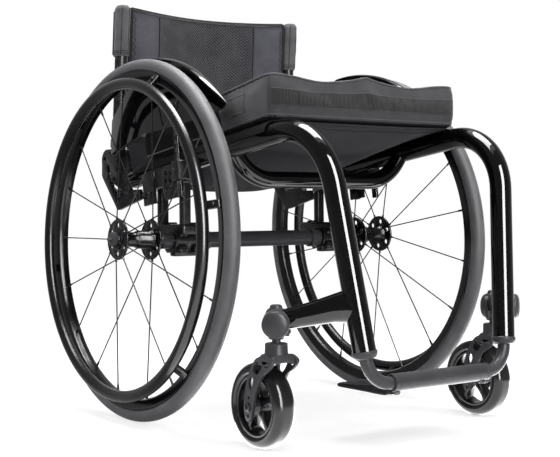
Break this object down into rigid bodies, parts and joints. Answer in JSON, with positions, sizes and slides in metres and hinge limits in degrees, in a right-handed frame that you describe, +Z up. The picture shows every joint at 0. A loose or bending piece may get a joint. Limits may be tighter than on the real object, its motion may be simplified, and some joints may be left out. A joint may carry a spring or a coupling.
{
  "type": "rigid active wheelchair",
  "caption": "Rigid-frame active wheelchair with cambered spoked rear wheels and push rings, small swivelling front casters, tube footrest, low fold-down back, side guards and contoured cushion.",
  "frame": {"origin": "on the floor, in the middle of the footprint between the left and right wheels", "axes": "+Z up, the chair faces -Y, +X towards the user's left"},
  "size_m": [0.604, 0.7542, 0.7084],
  "materials": {
    "gloss_frame": "gloss black lacquer on aluminium tube",
    "satin_tube": "satin dark grey anodised",
    "satin_black": "satin black anodised",
    "footplate": "satin black, fine grain",
    "steel": "bright",
    "spoke_steel": "black oxide",
    "rim": "satin black anodised",
    "handrim": "satin dark grey anodised",
    "tyre": "grey-black rubber",
    "caster_tyre": "smooth black",
    "caster_core": "black",
    "guard_shell": "gloss black",
    "fabric": "dark grey woven nylon over foam"
  },
  "bodies": {
    "frame": {"side_tube_left": "gloss_frame", "side_tube_right": "gloss_frame", "caster_arm_left": "gloss_frame", "caster_arm_right": "gloss_frame", "caster_housing_left": "satin_tube", "caster_housing_right": "satin_tube", "camber_plug_left": "steel", "camber_plug_right": "steel", "camber_clamp_left": "satin_black", "camber_clamp_right": "satin_black", "upright_front_left": "satin_tube", "upright_front_right": "satin_tube", "upright_rear_left": "satin_tube", "upright_rear_right": "satin_tube", "seat_bracket_left": "satin_black", "seat_bracket_right": "satin_black", "hinge_plate_left": "satin_tube", "hinge_plate_right": "satin_tube", "guard_receiver_left": "satin_black", "guard_receiver_right": "satin_black", "leg_collar_left": "satin_tube", "leg_collar_right": "satin_tube", "extension_tube_left": "satin_tube", "extension_tube_right": "satin_tube", "axle_left": "steel", "axle_right": "steel", "seat_cross_tube": "gloss_frame", "camber_tube": "satin_tube", "foot_sleeve": "satin_black", "footplate": "footplate", "seat_sling": "fabric", "cushion": "fabric"},
    "back": {"back_post_left": "satin_black", "back_post_right": "satin_black", "post_sleeve_left": "fabric", "post_sleeve_right": "fabric", "back_upholstery": "fabric"},
    "wheel_left": {"tyre_left": "tyre", "rim_left": "rim", "spokes_left": "spoke_steel", "hub_left": "rim", "handrim_left": "handrim"},
    "axle_button_left": {"axle_button_left": "steel"},
    "caster_fork_left": {"fork_left": "satin_tube", "caster_bolt_left": "steel"},
    "caster_wheel_left": {"caster_core_left": "caster_core", "caster_tyre_left": "caster_tyre"},
    "side_guard_left": {"side_guard_left": "guard_shell"},
    "wheel_right": {"tyre_right": "tyre", "rim_right": "rim", "spokes_right": "spoke_steel", "hub_right": "rim", "handrim_right": "handrim"},
    "axle_button_right": {"axle_button_right": "steel"},
    "caster_fork_right": {"fork_right": "satin_tube", "caster_bolt_right": "steel"},
    "caster_wheel_right": {"caster_core_right": "caster_core", "caster_tyre_right": "caster_tyre"},
    "side_guard_right": {"side_guard_right": "guard_shell"}
  },
  "joints": [
    {"name": "wheel_spin_left", "type": "hinge", "parent": "frame", "child": "wheel_left", "pos_m": [0.2521, 0.0821, 0.2949], "axis": [0.9996, 0, 0.0267], "continuous": true},
    {"name": "axle_button_push_left", "type": "slide", "parent": "frame", "child": "axle_button_left", "axis": [-0.9996, 0, -0.0267], "range_m": [0, 0.004], "stiffness_N_per_m": 700},
    {"name": "caster_swivel_left", "type": "hinge", "parent": "frame", "child": "caster_fork_left", "pos_m": [0.2209, -0.2629, 0.17], "axis": [0, 0, 1], "continuous": true},
    {"name": "caster_roll_left", "type": "hinge", "parent": "caster_fork_left", "child": "caster_wheel_left", "pos_m": [0.2209, -0.22761, 0.0615], "axis": [1, 0, 0], "continuous": true},
    {"name": "side_guard_lift_left", "type": "slide", "parent": "frame", "child": "side_guard_left", "axis": [0, 0.1343, 0.9909], "range_m": [0, 0.05]},
    {"name": "wheel_spin_right", "type": "hinge", "parent": "frame", "child": "wheel_right", "pos_m": [-0.2521, 0.0821, 0.2949], "axis": [-0.9996, 0, 0.0267], "continuous": true},
    {"name": "axle_button_push_right", "type": "slide", "parent": "frame", "child": "axle_button_right", "axis": [0.9996, 0, -0.0267], "range_m": [0, 0.004], "stiffness_N_per_m": 700},
    {"name": "caster_swivel_right", "type": "hinge", "parent": "frame", "child": "caster_fork_right", "pos_m": [-0.2209, -0.2629, 0.17], "axis": [0, 0, 1], "continuous": true},
    {"name": "caster_roll_right", "type": "hinge", "parent": "caster_fork_right", "child": "caster_wheel_right", "pos_m": [-0.2209, -0.22761, 0.0615], "axis": [1, 0, 0], "continuous": true},
    {"name": "side_guard_lift_right", "type": "slide", "parent": "frame", "child": "side_guard_right", "axis": [0, 0.1343, 0.9909], "range_m": [0, 0.05]},
    {"name": "backrest_fold", "type": "hinge", "parent": "frame", "child": "back", "pos_m": [0, 0.22809, 0.40201], "axis": [1, 0, 0], "range_deg": [0, 46]}
  ]
}
